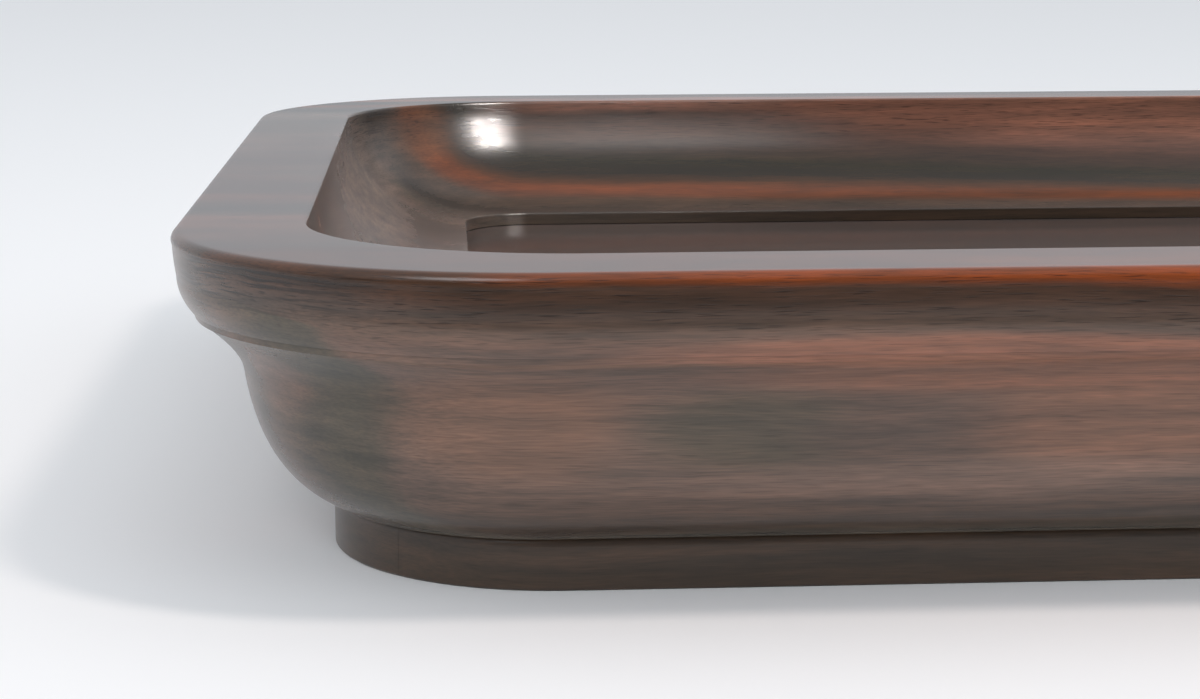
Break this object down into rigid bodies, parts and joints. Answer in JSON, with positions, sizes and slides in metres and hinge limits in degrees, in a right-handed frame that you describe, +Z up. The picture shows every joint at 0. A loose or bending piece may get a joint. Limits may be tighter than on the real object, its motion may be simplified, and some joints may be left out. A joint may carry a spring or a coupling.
{
  "type": "wooden tea tray",
  "caption": "Rectangular hardwood serving tray with rounded corners, a moulded wall, a coved inside with a recessed flat floor, and a low mitred foot frame.",
  "frame": {"origin": "centre of the footprint, on the surface that the tray stands on", "axes": "+X along the tray's length to the right, +Y along its depth from front to back, +Z up"},
  "size_m": [0.36, 0.238, 0.038],
  "materials": {
    "wall_rosewood": "carved and polished, satin gloss",
    "floor_rosewood": "planed and polished, gloss",
    "foot_rosewood": "planed and oiled, satin",
    "batten_rosewood": "planed, left unpolished",
    "peg_bamboo": "split and shaved, cut flush"
  },
  "bodies": {
    "root": {"rim_wall": "wall_rosewood", "floor_board": "floor_rosewood", "floor_batten_left": "batten_rosewood", "floor_batten_right": "batten_rosewood", "foot_rail_front": "foot_rosewood", "foot_rail_back": "foot_rosewood", "foot_rail_left": "foot_rosewood", "foot_rail_right": "foot_rosewood", "foot_tongue_front_left": "batten_rosewood", "foot_tongue_front_right": "batten_rosewood", "foot_tongue_back_right": "batten_rosewood", "foot_tongue_back_left": "batten_rosewood", "foot_peg_front_1": "peg_bamboo", "foot_peg_front_2": "peg_bamboo", "foot_peg_front_3": "peg_bamboo", "foot_peg_back_1": "peg_bamboo", "foot_peg_back_2": "peg_bamboo", "foot_peg_back_3": "peg_bamboo", "foot_peg_left_1": "peg_bamboo", "foot_peg_left_2": "peg_bamboo", "foot_peg_right_1": "peg_bamboo", "foot_peg_right_2": "peg_bamboo"}
  },
  "joints": []
}
